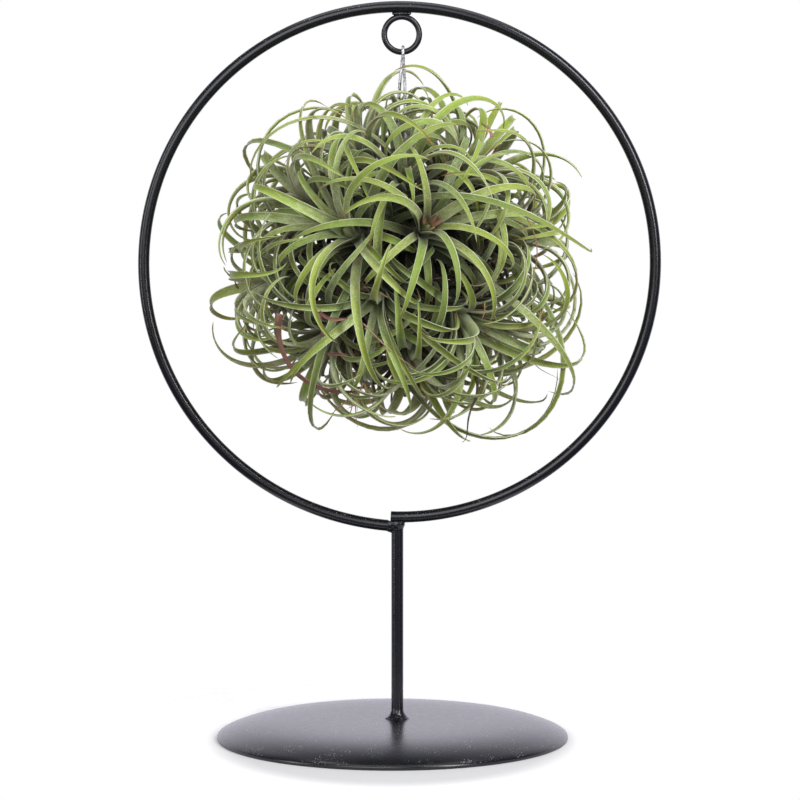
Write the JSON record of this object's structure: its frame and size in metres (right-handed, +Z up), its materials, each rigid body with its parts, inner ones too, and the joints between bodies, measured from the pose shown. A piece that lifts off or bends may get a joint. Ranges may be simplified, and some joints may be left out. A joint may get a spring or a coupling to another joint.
{
  "type": "air plant clump in a hoop stand",
  "caption": "Ball of curly-leaved air plants hanging by a wire from the eye of a round hoop stand with a domed base plate.",
  "frame": {"origin": "middle of the part's footprint, on the surface that the base plate's rim rests on", "axes": "+Z up along the stem; the hoop lies in the XZ plane; the plant is seen from -Y"},
  "size_m": [0.2585, 0.175, 0.366],
  "materials": {
    "powder_coat": "satin",
    "galvanised_wire": "satin",
    "bark": "matte",
    "leaf": "matte"
  },
  "bodies": {
    "root": {"base_plate": "powder_coat", "stem": "powder_coat", "hoop": "powder_coat", "hanging_eye": "powder_coat", "hanger_wire": "galvanised_wire", "crown": "bark", "rosette_01": "leaf", "rosette_02": "leaf", "rosette_03": "leaf", "rosette_04": "leaf", "rosette_05": "leaf", "rosette_06": "leaf", "rosette_07": "leaf", "rosette_08": "leaf", "rosette_09": "leaf", "rosette_10": "leaf", "rosette_11": "leaf", "rosette_12": "leaf", "rosette_13": "leaf", "rosette_14": "leaf", "rosette_15": "leaf", "rosette_16": "leaf", "rosette_17": "leaf", "rosette_18": "leaf", "rosette_19": "leaf", "rosette_20": "leaf", "rosette_21": "leaf", "rosette_22": "leaf", "rosette_23": "leaf", "rosette_24": "leaf"}
  },
  "joints": []
}
